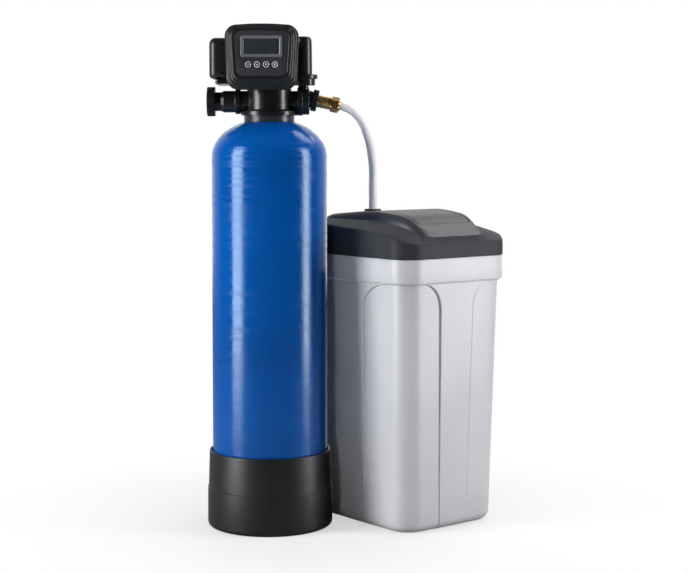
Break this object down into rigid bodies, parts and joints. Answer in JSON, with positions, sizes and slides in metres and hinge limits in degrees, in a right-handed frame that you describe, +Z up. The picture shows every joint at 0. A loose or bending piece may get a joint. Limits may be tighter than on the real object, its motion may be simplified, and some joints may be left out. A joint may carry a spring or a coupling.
{
  "type": "water softener",
  "caption": "Two-tank water softener: domed pressure vessel in a base, with control valve and display head, joined by a hose to an oblong salt tank with a hinged filling hatch.",
  "frame": {"origin": "on the floor, on the pressure vessel's axis", "axes": "+Z up; the control panel faces -Y; the salt tank stands on the +X side"},
  "size_m": [0.668, 0.4716, 1.1192],
  "materials": {
    "vessel_blue": "wound glass fibre under gloss blue coat",
    "base_black": "satin moulded",
    "valve_black": "satin moulded",
    "head_black": "satin moulded",
    "button_black": "satin",
    "bezel_grey": "satin",
    "window_dark": "gloss",
    "insert_grey": "satin",
    "brass": "turned",
    "steel": "zinc plated",
    "seal_rubber": "matt",
    "disc_ceramic": "lapped",
    "gear_white": "moulded",
    "motor_grey": "plated can",
    "board_green": "solder mask",
    "turbine_blue": "moulded",
    "inner_white": "moulded",
    "resin_amber": "fine beads",
    "salt_tank_grey": "satin moulded",
    "lid_charcoal": "satin moulded",
    "platform_grey": "moulded",
    "hose_pale": "smooth tube"
  },
  "bodies": {
    "softener": {"tank_base": "base_black", "tank_shell": "vessel_blue", "neck_insert": "insert_grey", "riser_tube": "inner_white", "bottom_distributor": "inner_white", "top_distributor": "inner_white", "resin_bed": "resin_amber", "valve_body": "valve_black", "neck_seal": "seal_rubber", "outlet_adapter": "valve_black", "inlet_adapter": "valve_black", "drain_tail": "valve_black", "brine_port": "valve_black", "brass_barrel": "brass", "hose_ferrule": "brass", "actuator_base": "valve_black", "actuator_can": "valve_black", "head_chassis": "valve_black", "rear_housing": "head_black", "front_cover": "head_black", "display_bezel": "bezel_grey", "display_window": "window_dark", "circuit_board": "board_green", "cover_screws": "steel", "chassis_screws": "steel", "fixed_disc": "disc_ceramic", "drive_motor": "motor_grey", "brine_tank": "salt_tank_grey", "salt_platform": "platform_grey", "brine_well": "inner_white", "well_cap": "platform_grey", "safety_valve": "inner_white", "brine_pickup": "inner_white", "air_check": "inner_white", "overflow_elbow": "platform_grey", "overflow_nut": "platform_grey", "brine_hose": "hose_pale"},
    "lid": {"brine_lid": "lid_charcoal", "hose_grommet": "seal_rubber", "hatch_pin": "steel"},
    "hatch": {"salt_hatch": "lid_charcoal"},
    "outlet_nut": {"outlet_union_nut": "valve_black"},
    "turbine": {"meter_turbine": "turbine_blue"},
    "collar": {"lock_collar": "valve_black"},
    "hose_nut": {"brass_nut": "brass"},
    "drive": {"drive_shaft": "steel", "drive_gear": "gear_white", "moving_disc": "disc_ceramic"},
    "pinion": {"motor_pinion": "gear_white"},
    "float": {"float_rod": "steel", "brine_float": "inner_white"},
    "button_1": {"button_1": "button_black"},
    "button_2": {"button_2": "button_black"},
    "button_3": {"button_3": "button_black"},
    "button_4": {"button_4": "button_black"}
  },
  "joints": [
    {"name": "lid_lift", "type": "slide", "parent": "softener", "child": "lid", "axis": [0, 0, 1], "range_m": [0, 0.03]},
    {"name": "hatch_hinge", "type": "hinge", "parent": "lid", "child": "hatch", "pos_m": [0.30953, 0.08074, 0.7013], "axis": [-0.7826, -0.6225, 0], "range_deg": [0, 90]},
    {"name": "outlet_nut_spin", "type": "hinge", "parent": "softener", "child": "outlet_nut", "pos_m": [-0.128, 0, 0.9512], "axis": [-1, 0, 0], "continuous": true},
    {"name": "turbine_spin", "type": "hinge", "parent": "softener", "child": "turbine", "pos_m": [-0.086, 0, 0.9512], "axis": [-1, 0, 0], "continuous": true},
    {"name": "collar_turn", "type": "hinge", "parent": "softener", "child": "collar", "pos_m": [0.095, 0, 0.9552], "axis": [0.9781, 0, -0.2079], "continuous": true},
    {"name": "hose_nut_spin", "type": "hinge", "parent": "softener", "child": "hose_nut", "pos_m": [0.095, 0, 0.9552], "axis": [0.9781, 0, -0.2079], "continuous": true},
    {"name": "drive_spin", "type": "hinge", "parent": "softener", "child": "drive", "pos_m": [0, 0, 1], "axis": [0, 0, 1], "continuous": true},
    {"name": "pinion_spin", "type": "hinge", "parent": "softener", "child": "pinion", "pos_m": [-0.042, 0, 1], "axis": [0, 0, 1], "continuous": true},
    {"name": "float_rise", "type": "slide", "parent": "softener", "child": "float", "axis": [0, 0, 1], "range_m": [0, 0.015]},
    {"name": "button_1_press", "type": "slide", "parent": "softener", "child": "button_1", "axis": [0, 1, 0], "range_m": [0, 0.0008], "stiffness_N_per_m": 500},
    {"name": "button_2_press", "type": "slide", "parent": "softener", "child": "button_2", "axis": [0, 1, 0], "range_m": [0, 0.0008], "stiffness_N_per_m": 500},
    {"name": "button_3_press", "type": "slide", "parent": "softener", "child": "button_3", "axis": [0, 1, 0], "range_m": [0, 0.0008], "stiffness_N_per_m": 500},
    {"name": "button_4_press", "type": "slide", "parent": "softener", "child": "button_4", "axis": [0, 1, 0], "range_m": [0, 0.0008], "stiffness_N_per_m": 500}
  ],
  "couplings": [
    {"joint": "pinion_spin", "follows": "drive_spin", "ratio": -2.5}
  ]
}
